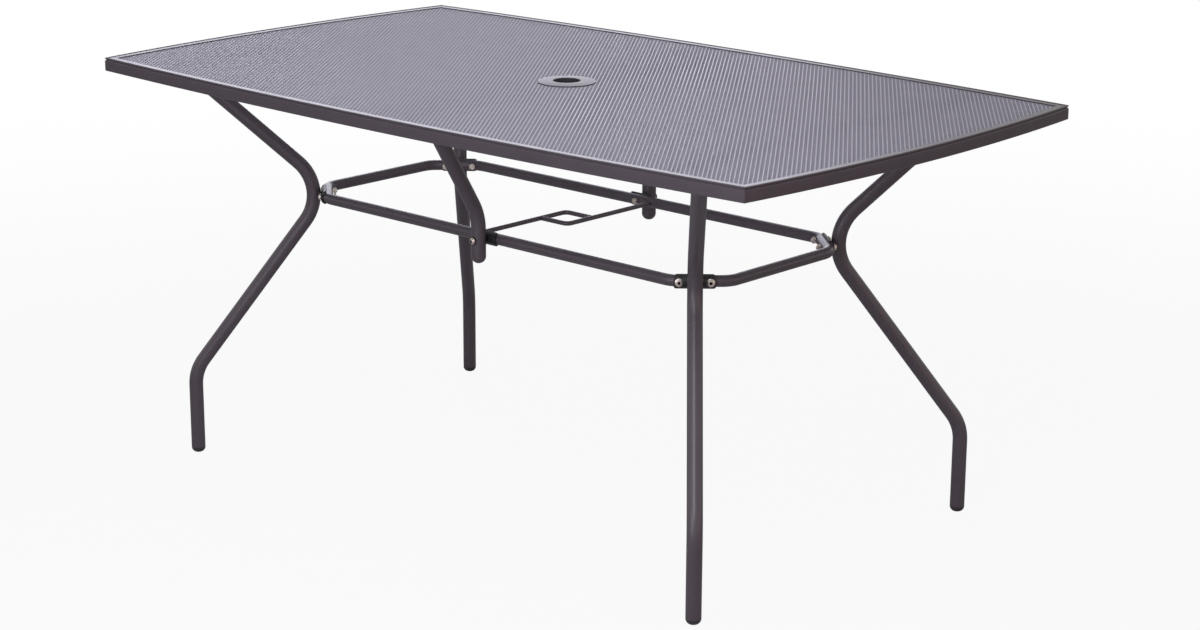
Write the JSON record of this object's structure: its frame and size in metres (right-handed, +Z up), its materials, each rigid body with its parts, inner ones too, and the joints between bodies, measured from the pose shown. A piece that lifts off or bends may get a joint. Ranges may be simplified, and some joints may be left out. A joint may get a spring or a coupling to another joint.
{
  "type": "umbrella table",
  "caption": "Rectangular outdoor dining table with bowed sides, an expanded steel mesh top, a flanged umbrella hole, bent tube legs and a tube stretcher ring with a pole guide.",
  "frame": {"origin": "on the floor under the centre of the top", "axes": "+X along the long side to the right, +Y to the back, +Z up"},
  "size_m": [1.524, 0.88, 0.72],
  "materials": {
    "frame_coat": "dark grey powder coat, semi-gloss",
    "mesh_coat": "dark grey powder coat on expanded mesh",
    "bracket_coat": "black powder coat, satin",
    "black_plastic": "moulded black plastic",
    "zinc": "bright zinc plate"
  },
  "bodies": {
    "root": {"front_rim_rail": "frame_coat", "back_rim_rail": "frame_coat", "left_rim_rail": "frame_coat", "right_rim_rail": "frame_coat", "mesh_panel": "mesh_coat", "left_end_bar": "frame_coat", "right_end_bar": "frame_coat", "left_centre_bar": "frame_coat", "right_centre_bar": "frame_coat", "umbrella_ring": "frame_coat", "ring_plate": "frame_coat", "ring_retainer": "frame_coat", "stretcher_ring": "frame_coat", "front_left_leg": "frame_coat", "front_left_foot_cap": "black_plastic", "front_left_bracket": "bracket_coat", "front_left_top_plate": "frame_coat", "front_right_leg": "frame_coat", "front_right_foot_cap": "black_plastic", "front_right_bracket": "bracket_coat", "front_right_top_plate": "frame_coat", "back_left_leg": "frame_coat", "back_left_foot_cap": "black_plastic", "back_left_bracket": "bracket_coat", "back_left_top_plate": "frame_coat", "back_right_leg": "frame_coat", "back_right_foot_cap": "black_plastic", "back_right_bracket": "bracket_coat", "back_right_top_plate": "frame_coat", "front_half_leg": "frame_coat", "front_half_leg_plug": "frame_coat", "front_half_leg_bracket": "bracket_coat", "front_half_leg_top_plate": "frame_coat", "front_pole_guide": "frame_coat", "back_half_leg": "frame_coat", "back_half_leg_plug": "frame_coat", "back_half_leg_bracket": "bracket_coat", "back_half_leg_top_plate": "frame_coat", "back_pole_guide": "frame_coat", "bracket_bolts": "zinc", "hex_nuts": "zinc", "half_leg_bolts": "zinc", "frame_screws": "zinc", "half_leg_washers": "black_plastic"}
  },
  "joints": []
}
